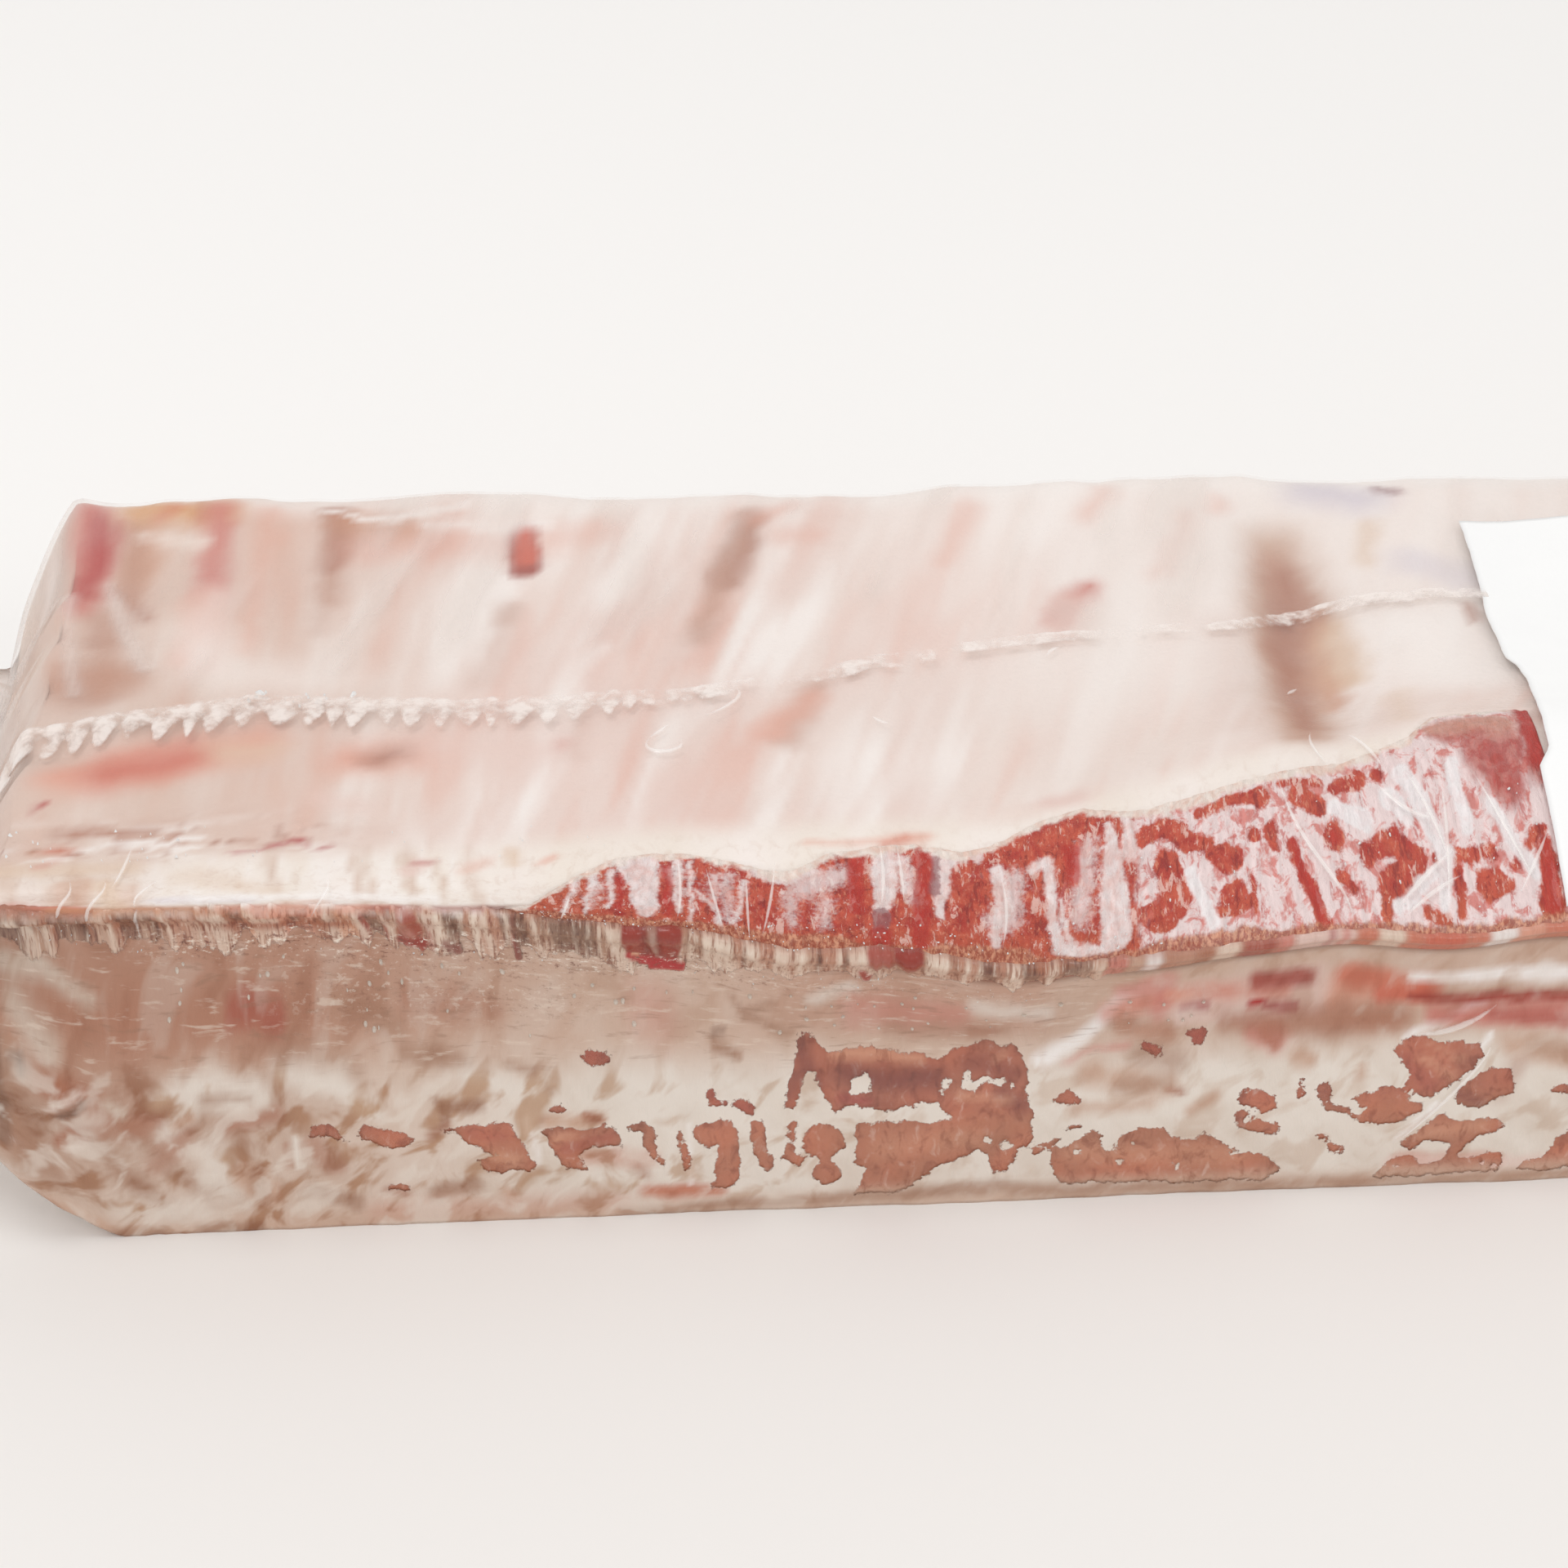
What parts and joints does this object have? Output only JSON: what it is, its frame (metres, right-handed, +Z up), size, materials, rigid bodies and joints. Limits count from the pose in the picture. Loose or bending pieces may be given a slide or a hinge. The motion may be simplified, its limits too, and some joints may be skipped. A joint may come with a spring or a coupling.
{
  "type": "pack of bone-in pork loin",
  "caption": "Frozen bone-in pork loin lying fat side down, wrapped tight in clear film with a welded seam along the top, flat drawn ends and a blank white label.",
  "frame": {"origin": "middle of the pack's outline, at the height of the surface it rests on", "axes": "+X along the loin towards its thick end under the label, +Y from the sawn backbone side to the rib ends, +Z up from the fat side to the rib side"},
  "size_m": [0.32, 0.1128, 0.0566],
  "materials": {
    "filmed_meat": "frozen meat, bone and fat seen through clear, partly frosted film",
    "label_paper": "smooth white coated paper, blank"
  },
  "bodies": {
    "root": {"wrapped_loin": "filmed_meat", "label": "label_paper"}
  },
  "joints": []
}
